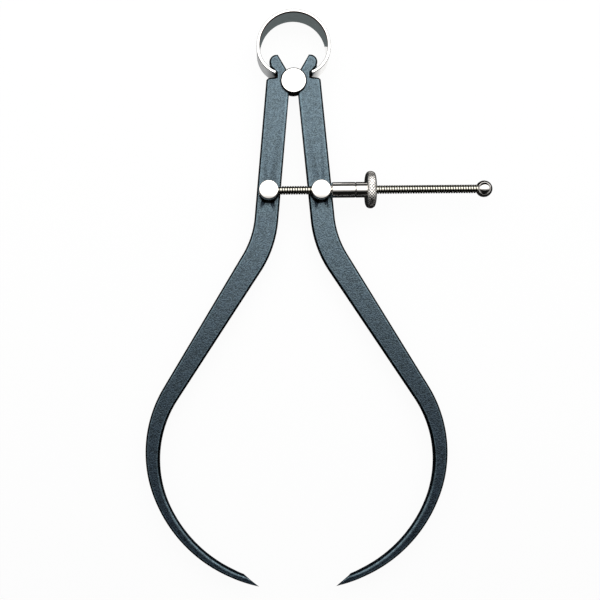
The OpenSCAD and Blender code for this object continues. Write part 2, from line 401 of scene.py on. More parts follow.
# The centre of the painted shadow below each post, sagged downwards
post_spot = ((post_low.x + post_high.x) / 2, SHADOW_SAG - (post_low.y + post_high.y) / 2, 0)
bow_radius = (bow_high.x - bow_low.x) / 2
bow_middle = Vector((0, bow_high.y - bow_radius, (bow_low.z + bow_high.z) / 2))
bow_points = [v.co - bow_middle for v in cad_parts["bow_spring"].data.vertices]
bow_inner = min(point.y for point in bow_points if abs(point.x) < BOW_TOP_REACH and point.y > 0)
screw_axis = Vector((0, (sleeve_low.y + sleeve_high.y) / 2, (sleeve_low.z + sleeve_high.z) / 2))
sleeve_radius = sleeve_high.z - screw_axis.z
joint = (sleeve_high.x + nut_low.x) / 2
along_x = Matrix.Rotation(pi / 2, 4, "Y")
along_screw = Matrix.Translation(screw_axis) @ along_x


# Node tools

def feed(tree, socket, value):
    """Links another node's output to a socket, or sets the socket's own value."""
    if isinstance(value, bpy.types.NodeSocket):
        tree.links.new(value, socket)
    else:
        socket.default_value = value


def set_inputs(tree, node, inputs):
    for key, value in inputs.items():
        feed(tree, node.inputs[key], value)


def add_node(tree, kind, inputs=None, **settings):
    """A new shader node with its settings, and its inputs linked or set."""
    made = tree.nodes.new(kind)
    for name, value in settings.items():
        setattr(made, name, value)
    set_inputs(tree, made, inputs or {})
    return made


def math_node(tree, operation, first, second=0.0, third=0.0):
    return add_node(tree, "ShaderNodeMath", {0: first, 1: second, 2: third}, operation=operation).outputs[0]


def vector_node(tree, operation, *given):
    """A sum with vectors. It gives a vector, or a value for a length."""
    made = add_node(tree, "ShaderNodeVectorMath", dict(enumerate(given)), operation=operation)
    return made.outputs["Value" if operation == "LENGTH" else "Vector"]


def axis_distance(tree, place, across=(1, 1, 0)):
    """How far a place is from an axis through the origin, by the directions across that axis."""
    return vector_node(tree, "LENGTH", vector_node(tree, "MULTIPLY", place, across))


def coordinates(tree, place):
    return add_node(tree, "ShaderNodeSeparateXYZ", {0: place}).outputs


def attribute(tree, name):
    """A value that the mesh carries on its points."""
    return add_node(tree, "ShaderNodeAttribute", attribute_name=name).outputs["Fac"]


def spread(tree, value, low, high, to_low=0.0, to_high=1.0):
    """The value's stretch from low to high, carried smoothly to another."""
    inputs = {"Value": value, "From Min": low, "From Max": high, "To Min": to_low, "To Max": to_high}
    return add_node(tree, "ShaderNodeMapRange", inputs, interpolation_type="SMOOTHSTEP").outputs["Result"]


def fade(tree, value, low, high):
    """1 up to low, and smoothly down to 0 at high."""
    return spread(tree, value, low, high, 1.0, 0.0)


def noise(tree, place, scale, detail=2.0, roughness=0.5):
    inputs = {"Vector": place, "Scale": scale, "Detail": detail, "Roughness": roughness}
    return add_node(tree, "ShaderNodeTexNoise", inputs).outputs["Fac"]


def blend_colour(tree, share, first, second):
    mix = add_node(tree, "ShaderNodeMix", data_type="RGBA")
    for name, value in (("Factor", share), ("A", first), ("B", second)):
        feed(tree, next(s for s in mix.inputs if s.name == name and s.enabled), value)
    return next(s for s in mix.outputs if s.enabled)


def raised(tree, height, depth):
    """A normal from a height that runs from 0 to 1, with its depth in metres."""
    return add_node(tree, "ShaderNodeBump", {"Height": height, "Distance": depth}).outputs["Normal"]


def new_material(name):
    """A material with its tree and its shader."""
    material = bpy.data.materials.new(name)
    material.use_nodes = True
    return material, material.node_tree, material.node_tree.nodes["Principled BSDF"]


def new_finish(name):
    """A material with its tree, its shader and the place on the piece."""
    material, tree, shader = new_material(name)
    return material, tree, shader, add_node(tree, "ShaderNodeTexCoord").outputs["Object"]


# Effects that the finishes share

def effect_group(name, values, results):
    """An empty effect with a place to read from, its values, and what it puts out."""
    group = bpy.data.node_groups.new(name, "ShaderNodeTree")
    group.interface.new_socket("Place", in_out="INPUT", socket_type="NodeSocketVector")
    for label, value in values.items():
        socket = group.interface.new_socket(label, in_out="INPUT", socket_type="NodeSocketFloat")
        socket.default_value = value
    for label in results:
        group.interface.new_socket(label, in_out="OUTPUT", socket_type="NodeSocketFloat")
    return group, group.nodes.new("NodeGroupInput").outputs, group.nodes.new("NodeGroupOutput").inputs


def effect(tree, group, place, values=None):
    """One use of an effect group in a material."""
    use = add_node(tree, "ShaderNodeGroup", node_tree=group)
    set_inputs(tree, use, {"Place": place, **(values or {})})
    return use.outputs


def tumbled_grain():
    """Fine speckle and wider blotches, as tumbling leaves them on steel."""
    values = {"Speckles": 3000, "Blotches": 800}
    group, given, put = effect_group("tumbled_grain", values, ("Speckle", "Blotch"))
    fine = noise(group, given["Place"], given["Speckles"], detail=1.0, roughness=0.6)
    wide = noise(group, given["Place"], given["Blotches"], detail=2.0, roughness=0.55)
    feed(group, put["Speckle"], spread(group, fine, *SPECKLE_BAND))
    feed(group, put["Blotch"], spread(group, wide, *BLOTCH_BAND))
    return group


def rub_marks():
    """Sparse long marks of handling, which run across the piece's Y."""
    values = {"Marks": 260, "Stretch": 0.12, "Sparseness": 0.6}
    group, given, put = effect_group("rub_marks", values, ("Mark",))
    squeeze = add_node(group, "ShaderNodeCombineXYZ", {"X": 1.0, "Y": given["Stretch"], "Z": 1.0})
    drawn = vector_node(group, "MULTIPLY", given["Place"], squeeze.outputs[0])
    streaks = noise(group, drawn, given["Marks"], detail=3.0, roughness=0.65)
    full = math_node(group, "ADD", given["Sparseness"], MARK_FADE)
    feed(group, put["Mark"], spread(group, streaks, given["Sparseness"], full))
    return group


def lathe_rings():
    """The fine rings that a tool leaves round the Z axis, on faces and on walls."""
    values = {"Spacing": 0.12 * MM, "Waver": 900}
    group, given, put = effect_group("lathe_rings", values, ("Ring",))
    height = coordinates(group, given["Place"])["Z"]
    travel = math_node(group, "ADD", axis_distance(group, given["Place"]), height)
    turns = math_node(group, "DIVIDE", travel, given["Spacing"])
    waver = noise(group, given["Place"], given["Waver"], detail=1.0)
    wavering = math_node(group, "MULTIPLY", waver, RING_WAVER)
    phase = math_node(group, "ADD", math_node(group, "MULTIPLY", turns, 2 * pi), wavering)
    wave = math_node(group, "SINE", phase)
    feed(group, put["Ring"], math_node(group, "MULTIPLY_ADD", wave, 0.5, 0.5))
    return group


def oil_and_shade_band():
    """A dark band with a ragged edge on a stretch along the Z axis: real oil at the sleeve's joint, painted
    shade on the stud and on each post's foot.
    """
    values = {"From": 0.0, "To": 0.0, "Edge": OIL_EDGE}
    group, given, put = effect_group("oil_and_shade_band", values, ("Band",))
    height = coordinates(group, given["Place"])["Z"]
    uneven = noise(group, given["Place"], OIL_RAGGED)
    ragged = math_node(group, "MULTIPLY_ADD", uneven, given["Edge"], height)
    start = math_node(group, "ADD", given["From"], given["Edge"])
    end = math_node(group, "ADD", given["To"], given["Edge"])
    rise = spread(group, ragged, given["From"], start)
    fall = fade(group, ragged, given["To"], end)
    feed(group, put["Band"], math_node(group, "MULTIPLY", rise, fall))
    return group


def painted_ring_shadow():
    """Painted shadow round a turned piece on the Z axis, fading out with a ragged edge over a spread past its
    radius.
    """
    values = {"Radius": 3 * MM, "Spread": 0.5 * MM}
    group, given, put = effect_group("painted_ring_shadow", values, ("Shadow",))
    radius = axis_distance(group, given["Place"])
    uneven = noise(group, given["Place"], SHADOW_RAGGED)
    ragged = math_node(group, "MULTIPLY_ADD", uneven, given["Spread"], radius)
    half = math_node(group, "MULTIPLY_ADD", given["Spread"], 0.5, given["Radius"])
    end = math_node(group, "MULTIPLY_ADD", given["Spread"], 1.5, given["Radius"])
    feed(group, put["Shadow"], fade(group, ragged, half, end))
    return group


grain_group = tumbled_grain()
mark_group = rub_marks()
ring_group = lathe_rings()
oil_and_shade_group = oil_and_shade_band()
ring_shadow_group = painted_ring_shadow()


# Finishes

def black_steel():
    """Blued black finish: a dark coat with a satin speckle, paler along the edges as wear and painted
    highlight, and painted shade on the edge walls, round the stud and below the posts.
    """
    material, tree, shader, place = new_finish("black_steel")
    grain = effect(tree, grain_group, place, {"Speckles": 3000, "Blotches": 900})
    marks = effect(tree, mark_group, place, {"Marks": 220, "Stretch": 0.3, "Sparseness": 0.62})
    edge = attribute(tree, "edge")
    # Paler band just inside the rim: partly wear in patches, partly painted highlight where inner edges face
    # the lamp
    wear_highlight_start = spread(tree, edge, 0.0, WEAR_HIGHLIGHT_SHARE)
    wear_and_highlight = math_node(tree, "MULTIPLY", wear_highlight_start, fade(tree, edge, WEAR_HIGHLIGHT_SHARE, WEAR_HIGHLIGHT_END))
    worn = math_node(tree, "MULTIPLY", wear_and_highlight, spread(tree, grain["Blotch"], *WEAR_HIGHLIGHT_PATCHES))
    # Painted shade: the walls of the rounded edge are made dark and dull whatever the light
    rim = spread(tree, edge, *RIM_BAND)
    wall = math_node(tree, "MULTIPLY", rim, spread(tree, edge, WALL_FROM, 1.0, 1.0, WALL_SHARE))
    # Painted shadow: a ring round the stud, and one round each post that sags below it
    from_post = vector_node(tree, "SUBTRACT", vector_node(tree, "ABSOLUTE", place), post_spot)
    stud_shadow = effect(tree, ring_shadow_group, place, {"Radius": stud_high.x, "Spread": SHADOW_SPREAD})["Shadow"]
    post_shadow = effect(tree, ring_shadow_group, from_post, {"Radius": post_radius, "Spread": SHADOW_SPREAD})["Shadow"]
    # All painted shade and shadow on the leg, laid on in the coat's darkest tone
    dark = math_node(tree, "MAXIMUM", wall, math_node(tree, "MAXIMUM", stud_shadow, post_shadow))
    blotch_share = math_node(tree, "MULTIPLY", grain["Blotch"], 1 - SPECKLE_SHARE)
    mottle = math_node(tree, "MULTIPLY_ADD", grain["Speckle"], SPECKLE_SHARE, blotch_share)
    coat = blend_colour(tree, mottle, COAT_DARK, COAT_PALE)
    coat_with_wear_and_highlight = blend_colour(tree, worn, coat, COAT_WEAR_AND_HIGHLIGHT)
    pits = math_node(tree, "MULTIPLY_ADD", grain["Speckle"], -PIT_SHARE, PIT_SHARE)
    height = math_node(tree, "MULTIPLY_ADD", grain["Blotch"], BLOTCH_RELIEF, grain["Speckle"])
    satin = spread(tree, grain["Blotch"], 0.0, 1.0, *COAT_ROUGH)
    set_inputs(tree, shader, {
        "Base Color": blend_colour(tree, dark, coat_with_wear_and_highlight, COAT_PAINTED_SHADE),
        "Metallic": math_node(tree, "MAXIMUM", dark, pits),
        "Roughness": math_node(tree, "MULTIPLY_ADD", marks["Mark"], COAT_MARK, satin),
        "Normal": raised(tree, height, COAT_RELIEF),
        "IOR": COAT_IOR,
        "Specular Tint": COAT_GLEAM,
    })
    return material


def bright_steel(name, dark_from, dark_to, axis_place=None, rings=RING_DEPTH, dark_edge=OIL_EDGE):
    """Nickelled turned steel with the rings of the tool, a dark band on a stretch of it, and darker knurl
    grooves. The band is real oil at the sleeve's joint and painted shade on the stud and on each post's foot.
    """
    material, tree, shader, place = new_finish(name)
    if axis_place:
        back = axis_place.inverted()
        inputs = {"Vector": place, "Location": back.translation, "Rotation": back.to_euler()}
        place = add_node(tree, "ShaderNodeMapping", inputs).outputs[0]
    ring = effect(tree, ring_group, place)["Ring"]
    grain = effect(tree, grain_group, place, {"Speckles": 5200, "Blotches": 420})
    marks = effect(tree, mark_group, place, {"Marks": 500, "Stretch": 0.15, "Sparseness": 0.6})
    stretch = effect(tree, oil_and_shade_group, place, {"From": dark_from, "To": dark_to, "Edge": dark_edge})["Band"]
    darkening = math_node(tree, "MAXIMUM", stretch, spread(tree, attribute(tree, "groove"), *GROOVE_BAND))
    dull = spread(tree, grain["Blotch"], 0.0, 1.0, *NICKEL_ROUGH)
    worn = math_node(tree, "MULTIPLY_ADD", marks["Mark"], NICKEL_MARK, dull)
    rough = math_node(tree, "MULTIPLY_ADD", attribute(tree, "knurl"), KNURL_DULL, worn)
    nickel = blend_colour(tree, grain["Blotch"], NICKEL_CLEAN, NICKEL_DULL)
    set_inputs(tree, shader, {
        "Base Color": blend_colour(tree, darkening, nickel, OIL_AND_SHADE_TONE),
        "Metallic": 1,
        "Roughness": math_node(tree, "MULTIPLY_ADD", darkening, OIL_ROUGH, rough),
        "Normal": raised(tree, ring, rings),
    })
    return material


def threaded_steel():
    """The screw's finish: bright crests, and roots darker than the crests."""
    material, tree, shader, place = new_finish("threaded_steel")
    from_axis = vector_node(tree, "SUBTRACT", place, screw_axis)
    radius = axis_distance(tree, from_axis, (0, 1, 1))
    low, high = (THREAD_ROOT + share * THREAD_DEPTH for share in CREST_BAND)
    crest = spread(tree, radius, low, high)
    grain = effect(tree, grain_group, place, {"Speckles": 4200, "Blotches": 500})
    marks = effect(tree, mark_group, place, {"Marks": 600, "Stretch": 1.0, "Sparseness": 0.6})
    darkening = blend_colour(tree, grain["Speckle"], ROOT_DARK, ROOT_PALE)
    dull = spread(tree, crest, 0.0, 1.0, *THREAD_ROUGH)
    set_inputs(tree, shader, {
        "Base Color": blend_colour(tree, crest, darkening, CREST_TONE),
        "Metallic": 1,
        "Roughness": math_node(tree, "MULTIPLY_ADD", marks["Mark"], THREAD_MARK, dull),
        "Normal": raised(tree, grain["Speckle"], THREAD_RELIEF),
    })
    return material


def spring_steel():
    """The bow's finish: strip polished along its length, with painted shade along its inner front edge near
    the top and on its hooks where they sit in the notches.
    """
    material, tree, shader, place = new_finish("spring_steel")
    drawn = add_node(tree, "ShaderNodeMapping", {"Vector": place, "Scale": STRIP_STRETCH}).outputs[0]
    lines = noise(tree, drawn, STRIP_LINES, roughness=0.6)
    grain = effect(tree, grain_group, place, {"Speckles": 3600, "Blotches": 520})
    marks = effect(tree, mark_group, place, {"Marks": 380, "Stretch": 0.5, "Sparseness": 0.6})
    parts = coordinates(tree, place)
    depth = math_node(tree, "SUBTRACT", bow_high.z, parts["Z"])
    radius = axis_distance(tree, vector_node(tree, "SUBTRACT", place, bow_middle))
    across, down = BROWN_SOFT
    # Painted shade: a dark brown line along the bow's inner front edge near its top
    inner = fade(tree, radius, bow_inner + across * BROWN_WIDTH, bow_inner + BROWN_WIDTH)
    shallow = fade(tree, depth, down * BROWN_DEPTH, BROWN_DEPTH)
    upper = spread(tree, parts["Y"], *BROWN_RISE)
    inner_edge_shade = math_node(tree, "MULTIPLY", math_node(tree, "MULTIPLY", inner, shallow), upper)
    # Painted shade on the hooks, behind the band's front edge, where they sit in the notches
    below = spread(tree, depth, BAND_EDGE, 2 * BAND_EDGE)
    darkening = math_node(tree, "MULTIPLY", fade(tree, parts["Y"], *HOOK_SHADE), below)
    strip = blend_colour(tree, grain["Blotch"], STRIP_CLEAN, STRIP_DULL)
    notch_shaded = blend_colour(tree, darkening, strip, STRIP_NOTCH_SHADE)
    dull = spread(tree, lines, *STRIP_BAND, *STRIP_ROUGH)
    height = math_node(tree, "MULTIPLY_ADD", grain["Speckle"], STRIP_SPECKLE, lines)
    set_inputs(tree, shader, {
        "Base Color": blend_colour(tree, inner_edge_shade, notch_shaded, STRIP_INNER_SHADE),
        "Metallic": 1,
        "Roughness": math_node(tree, "MULTIPLY_ADD", marks["Mark"], STRIP_MARK, dull),
        "Normal": raised(tree, height, STRIP_RELIEF),
    })
    return material


leg_finish = black_steel()
bow_finish = spring_steel()
thread_finish = threaded_steel()
# Painted shade on the stud: dark from the middle of its back flange to just under its front face
stud_finish = bright_steel(
    "stud_finish", STUD_FLANGE / 2, stud_high.z - STUD_SHADE_MARGIN, rings=FACE_RING_DEPTH, dark_edge=STUD_SHADE_MARGIN / 2
)
turned_finish = bright_steel("turned_finish", joint - JOINT_OIL, joint + JOINT_OIL, along_screw)


# Legs

def clear_corners(bm):
    """Merges into each corner of an outline the points beside it that its rounded edge would sweep past."""
    points = end_points(e for e in bm.edges if e.is_boundary)
    reach = {}
    for vert in points:
        first, second = [e.other_vert(vert).co - vert.co for e in vert.link_edges if e.is_boundary]
        turn = pi - first.angle(second)
        if turn > CORNER_TURN:
            reach[vert] = min((LEG_EDGE + RIM_WIDTH) * tan(turn / 2) * CORNER_SPARE, CORNER_REACH)
    merged = {}
    for vert in points:
        if vert in reach:
            continue
        nearest = min(reach, key=lambda v: (v.co - vert.co).length)
        if (nearest.co - vert.co).length < reach[nearest]:
            merged[vert] = nearest
    bmesh.ops.weld_verts(bm, targetmap=merged)


def leg_front(side):
    """The front face of a leg alone, cleared at its corners for the rounded edge, with layers for notes."""
    bm = welded_copy(side)
    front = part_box(side)[1].z
    behind = [f for f in bm.faces if min(v.co.z for v in f.verts) < front - WELD]
    bmesh.ops.delete(bm, geom=behind, context="FACES")
    clear_corners(bm)
    for name in OUTLINE_PLACES:
        bm.verts.layers.float_vector.new(name)
    for name in (*OUTLINE_SHARES, "edge"):
        bm.verts.layers.float.new(name)
    return bm


def even_way(vert, outline):
    """The way into the plate at an outline's corner, long enough to leave both edges equally far behind."""
    ways = []
    for edge in vert.link_edges:
        if edge not in outline:
            continue
        run = edge.other_vert(vert).co - vert.co
        way = Vector((-run.y, run.x, 0)).normalized()
        inside = edge.link_faces[0].calc_center_median() - vert.co
        ways.append(way if way.dot(inside) > 0 else -way)
    both = ways[0] + ways[1]
    return both * min(1 / both.dot(ways[0]), MITRE)


def note_outline(bm, outline, corners, tip):
    """Notes on each outline point its place, its way inwards, how round it gets, and how far the paler rim
    band reaches: painted highlight that widens on inner edges facing the lamp.
    """
    corner, inward = (bm.verts.layers.float_vector[name] for name in OUTLINE_PLACES)
    soft, wear_and_highlight = (bm.verts.layers.float[name] for name in OUTLINE_SHARES)
    for vert in corners:
        way = even_way(vert, outline)
        from_tip = min((vert.co - tip).length / TIP_REACH, 1)
        on_inner_side = way.x * vert.co.x > 0
        vert[corner] = vert.co
        vert[inward] = way
        vert[soft] = TIP_SOFT + (1 - TIP_SOFT) * from_tip
        # Inner edges that face +Y, towards the lamp, get a wider paler band: painted highlight
        vert[wear_and_highlight] = min(max(-way.y / HIGHLIGHT_TURN, 0), 1) if on_inner_side else 0


def drop_notes(bm):
    places, shares = bm.verts.layers.float_vector, bm.verts.layers.float
    for name in OUTLINE_PLACES:
        places.remove(places[name])
    for name in OUTLINE_SHARES:
        shares.remove(shares[name])


def settle(bm, verts, inset, drop):
    """Moves points inwards and back from their noted places, by less towards the leg's point."""
    corner, inward = (bm.verts.layers.float_vector[name] for name in OUTLINE_PLACES)
    soft = bm.verts.layers.float["soft"]
    for vert in verts:
        vert.co = vert[corner] + vert[inward] * inset * vert[soft]
        vert.co.z -= drop * vert[soft]


def roll_edge(bm, ring):
    """Rolls the face's rim over into a wall, and marks on it how far round the edge each point is."""
    wear_and_highlight = bm.verts.layers.float["wear_and_highlight"]
    edge = bm.verts.layers.float["edge"]
    for step in range(LEG_STEPS + 1):
        angle = pi / 2 * (1 - step / LEG_STEPS)
        made = bmesh.ops.extrude_edge_only(bm, edges=ring)["geom"]
        verts = set(new_verts(made))
        ring = [e for e in made if isinstance(e, bmesh.types.BMEdge) and verts.issuperset(e.verts)]
        settle(bm, verts, LEG_EDGE * (1 - cos(angle)), LEG_EDGE * (1 - sin(angle)))
        for vert in verts:
            # On those edges the paler band, which is painted highlight, is held over the first steps of the
            # rounding
            worn = WEAR_HIGHLIGHT_STEPS * vert[wear_and_highlight]
            vert[edge] = WEAR_HIGHLIGHT_SHARE + (1 - WEAR_HIGHLIGHT_SHARE) * max(step - worn, 0) / (LEG_STEPS - worn)
    return ring


def add_back(bm, middle):
    """Gives a front half its mirrored back half."""
    back = bmesh.ops.duplicate(bm, geom=everything(bm))["geom"]
    flip = Matrix.Translation((0, 0, -middle))
    bmesh.ops.scale(bm, verts=new_verts(back), vec=(1, 1, -1), space=flip)
    bmesh.ops.remove_doubles(bm, verts=bm.verts, dist=WELD)
    bmesh.ops.recalc_face_normals(bm, faces=bm.faces)


def leg(side, post):
    """A leg with the rounded edges of a blanked and tumbled plate, and a paler rim band that is partly wear
    and partly painted highlight.
    """
    low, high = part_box(side)
    middle = (low.z + high.z) / 2
    bm = leg_front(side)
    pin = post_place(post).translation
    rims = [e for e in bm.edges if e.is_boundary]
    hole = [e for e in rims if (e.verts[0].co - pin).xy.length < RIVET_RADIUS]
    outline = [e for e in rims if e not in hole]
    corners = end_points(outline)
    point = min(corners, key=lambda v: v.co.y)
    beside = min((e.other_vert(point) for e in point.link_edges if e in outline), key=lambda v: v.co.y)
    tip = point.co.copy()
    along = (beside.co - tip).normalized()
    note_outline(bm, outline, corners, tip)
    bmesh.ops.delete(bm, geom=bm.faces[:], context="FACES_KEEP_BOUNDARY")
    settle(bm, corners, LEG_EDGE + RIM_WIDTH, 0)
    bmesh.ops.triangle_fill(
        bm, edges=outline + hole, use_beauty=True, use_dissolve=False, normal=(0, 0, 1)
    )
    ring = roll_edge(bm, outline)
    walls = bmesh.ops.extrude_edge_only(bm, edges=ring + hole)["geom"]
    for vert in new_verts(walls):
        vert.co.z = middle
    drop_notes(bm)
    add_back(bm, middle)
    for vert in bm.verts:
        near = max(1 - (vert.co - tip).xy.length / TIP_REACH, 0)
        vert.co += along * (high.z - vert.co.z) * TIP_SLANT * near
    piece = finish_mesh(side + "_rounded", bm, leg_finish)
    keep_flats_flat(piece)
    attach(piece, side)
    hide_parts(side)


# Bow

def bow_half(leg_body, side):
    """Half of the spring band. It follows its leg at the notch and the bow's middle at the top."""
    bm = welded_copy("bow_spring")
    bmesh.ops.dissolve_limit(bm, angle_limit=FLAT_ANGLE, verts=bm.verts, edges=bm.edges)
    cut = bmesh.ops.bisect_plane(
        bm, geom=everything(bm), dist=WELD, plane_co=(0, 0, 0), plane_no=(side, 0, 0), clear_inner=True
    )
    walls = [f for f in bm.faces if abs(f.normal.z) < BAND_WALL_TILT]
    end_face = min(walls, key=lambda f: abs(f.normal.dot(f.calc_center_median() - bow_middle)))
    bmesh.ops.translate(bm, verts=end_face.verts, vec=end_face.normal * HOOK_REACH)
    seam = [e for e in cut["geom_cut"] if isinstance(e, bmesh.types.BMEdge)]
    bmesh.ops.bevel(
        bm, geom=[e for e in level_rims(bm) if e not in seam], offset=BAND_EDGE, segments=ROUND_STEPS,
        profile=0.5, affect="EDGES", clamp_overlap=False, material=-1,
    )
    bmesh.ops.holes_fill(bm, edges=[e for e in bm.edges if e.is_boundary], sides=0)
    bmesh.ops.recalc_face_normals(bm, faces=bm.faces)
    hook = min((v.co for v in bm.verts), key=lambda co: co.y).copy()
    piece = finish_mesh("bow_" + leg_body.replace("_leg", "_half"), bm, bow_finish)
    keep_flats_flat(piece)
    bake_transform(piece, leg_body, "bow", start=hook, end=(0, bow_high.y * BOW_TOP_SHARE, hook.z))
    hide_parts("bow_spring")


# Turned pieces

def bright_piece(name, bm, finish, body, node, sharp=SHARP_ANGLE):
    """A turned piece that stands for a frame piece and moves with its body."""
    piece = finish_mesh(name, bm, finish, sharp)
    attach(piece, body)
    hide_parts(node)


def fulcrum_stud():
    """The spool that the legs are seated on, with a rounded flange in front and a bevelled one behind."""
    rim, front = stud_high.x, stud_high.z
    profile = [
        (0, 0), (0, rim - STUD_BEVEL), (STUD_BEVEL, rim), (STUD_FLANGE, rim), (STUD_FLANGE, STUD_WAIST),
        (front - STUD_FLANGE, STUD_WAIST), (front - STUD_FLANGE, rim),
    ]
    profile += arc((front - STUD_ROUND, rim - STUD_ROUND), STUD_ROUND, 90, 0, STUD_STEPS)
    profile += [(front, 0)]
    bright_piece("stud_turned", turned(profile, Matrix(), STUD_SOFT), stud_finish, "bow", "fulcrum_stud")


def swivel_post(node, body):
    """A riveted post: head with its cross bore, neck through the leg, and the rivet behind it."""
    low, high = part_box(node)
    head = (high.x - low.x) / 2
    face = leg_high.z + FACE_FIT
    back = leg_low.z - FACE_FIT
    profile = [
        (low.z, 0), (low.z, RIVET_RADIUS), (back, RIVET_RADIUS), (back, POST_NECK), (face, POST_NECK),
        (face, head), (high.z, head), (high.z, 0),
    ]
    place = post_place(node)
    solid = finish_mesh(node + "_solid", turned(profile, place, POST_ROUND), None)
    middle = place.translation + Vector((0, 0, screw_axis.z))
    bore = bmesh.new()
    bmesh.ops.create_cone(
        bore, segments=LATHE_STEPS, radius1=SCREW_RADIUS + SCREW_FIT, radius2=SCREW_RADIUS + SCREW_FIT,
        depth=DRILL_REACH * head, cap_ends=True, matrix=Matrix.Translation(middle) @ along_x,
    )
    drill = finish_mesh(node + "_drill", bore, None)
    bm = drilled(solid, drill)
    # Painted shade on the post's foot, from behind the leg to a little above its face
    finish = bright_steel(node + "_finish", back, face + POST_SHADE_RISE, place, FACE_RING_DEPTH)
    bright_piece(node + "_turned", bm, finish, body, node)


def cut_thread(start, end):
    """A thread along the screw's axis: one ridge, spun up the axis and cut off level at both ends."""
    bm = bmesh.new()
    half = THREAD_PITCH / 2
    flat = THREAD_PITCH * THREAD_FLAT
    ridge = [
        (0, THREAD_ROOT), (half - flat, SCREW_RADIUS),
        (half + flat, SCREW_RADIUS), (THREAD_PITCH, THREAD_ROOT),
    ]
    join_up(bm, [bm.verts.new((radius, 0, start - THREAD_PITCH + along)) for along, radius in ridge])
    turns = int((end - start) / THREAD_PITCH) + 2
    bmesh.ops.spin(
        bm, geom=bm.verts[:] + bm.edges[:], cent=(0, 0, 0), axis=(0, 0, 1),
        dvec=(0, 0, THREAD_PITCH / THREAD_STEPS), angle=2 * pi * turns, steps=turns * THREAD_STEPS,
        use_merge=False, use_duplicate=False,
    )
    bmesh.ops.remove_doubles(bm, verts=bm.verts, dist=THREAD_WELD)
    for level, outward in ((start, -1), (end, 1)):
        bmesh.ops.bisect_plane(
            bm, geom=everything(bm), dist=WELD,
            plane_co=(0, 0, level), plane_no=(0, 0, outward), clear_outer=True,
        )
    bmesh.ops.holes_fill(bm, edges=[e for e in bm.edges if e.is_boundary], sides=0)
    bmesh.ops.recalc_face_normals(bm, faces=bm.faces)
    bmesh.ops.transform(bm, matrix=along_screw, verts=bm.verts)
    return bm


def adjusting_screw():
    """The cut thread, run out at the ball that keeps the nut on."""
    centre = screw_high.x - BALL_RADIUS
    run_out = centre - (BALL_RADIUS ** 2 - SCREW_RADIUS ** 2) ** 0.5 + SCREW_FIT
    thread = cut_thread(screw_low.x, run_out)
    bright_piece("screw_thread", thread, thread_finish, "screw", "adjusting_screw", THREAD_SHARP)
    neck_angle = degrees(atan2(THREAD_ROOT, (BALL_RADIUS ** 2 - THREAD_ROOT ** 2) ** 0.5))
    profile = [(run_out - NECK_LAP, 0), (run_out - NECK_LAP, THREAD_ROOT)]
    profile += arc((centre, 0), BALL_RADIUS, 180 - neck_angle, 0, BALL_STEPS)
    bright_piece("screw_ball", turned(profile, along_screw, 0), turned_finish, "screw", "adjusting_screw")


def thrust_sleeve():
    """The plain sleeve between the post and the nut."""
    start, end, outer = sleeve_low.x, sleeve_high.x, sleeve_radius
    bore = SCREW_RADIUS + SCREW_FIT
    profile = [
        (start, bore), (start, outer - SLEEVE_BEVEL), (start + SLEEVE_BEVEL, outer),
        (end - JOINT_BEVEL, outer), (end, outer - JOINT_BEVEL), (end, bore), (start, bore),
    ]
    bright_piece("sleeve_turned", turned(profile, along_screw), turned_finish, "sleeve", "thrust_sleeve")


def knurl_height(along, angle):
    """Height of the diamond knurl from 0 in its grooves to 1 on its points."""
    turn = KNURL_TEETH * angle / (2 * pi)
    lean = along / KNURL_CELL
    return min(abs((turn + lean) % 1 - 0.5), abs((turn - lean) % 1 - 0.5)) * 2


def press_knurl(bm, inner, flange):
    """Presses the knurl into the flange outside the inner radius, and marks it and its grooves."""
    knurl = bm.verts.layers.float.new("knurl")
    groove = bm.verts.layers.float.new("groove")
    for vert in bm.verts:
        radius = hypot(vert.co.x, vert.co.y)
        if radius < inner + WELD:
            continue
        vert[knurl] = min((radius - inner) / (FLANGE_ROUND * KNURL_FADE), 1)
        vert[groove] = vert[knurl] * (1 - knurl_height(vert.co.z - flange, atan2(vert.co.y, vert.co.x)))
        vert.co.xy *= 1 - KNURL_DEPTH * vert[groove] / radius


def adjusting_nut():
    """The nut: a plain hub and a round-edged flange with a diamond knurl round it."""
    start, end = nut_low.x, nut_high.x
    rim = nut_high.z - screw_axis.z
    hub, soft = sleeve_radius, FLANGE_ROUND
    flange = start + HUB_LENGTH
    bore = SCREW_RADIUS + SCREW_FIT
    profile = [(start, bore), (start, hub - JOINT_BEVEL), (start + JOINT_BEVEL, hub), (flange, hub)]
    profile += arc((flange + soft, rim - soft), soft, 180, 90, KNURL_CORNER_STEPS)
    rows = [flange + soft + (end - flange - 2 * soft) * k / KNURL_ROWS for k in range(1, KNURL_ROWS)]
    profile += [(along, rim) for along in rows]
    profile += arc((end - soft, rim - soft), soft, 90, 0, KNURL_CORNER_STEPS)
    profile += [(end, bore), (start, bore)]
    bm = turned(profile, Matrix(), 0, KNURL_TEETH * KNURL_SAMPLES)
    press_knurl(bm, rim - soft, flange)
    bmesh.ops.transform(bm, matrix=along_screw, verts=bm.verts)
    bright_piece("nut_knurled", bm, turned_finish, "nut", "adjusting_nut")


# Studio

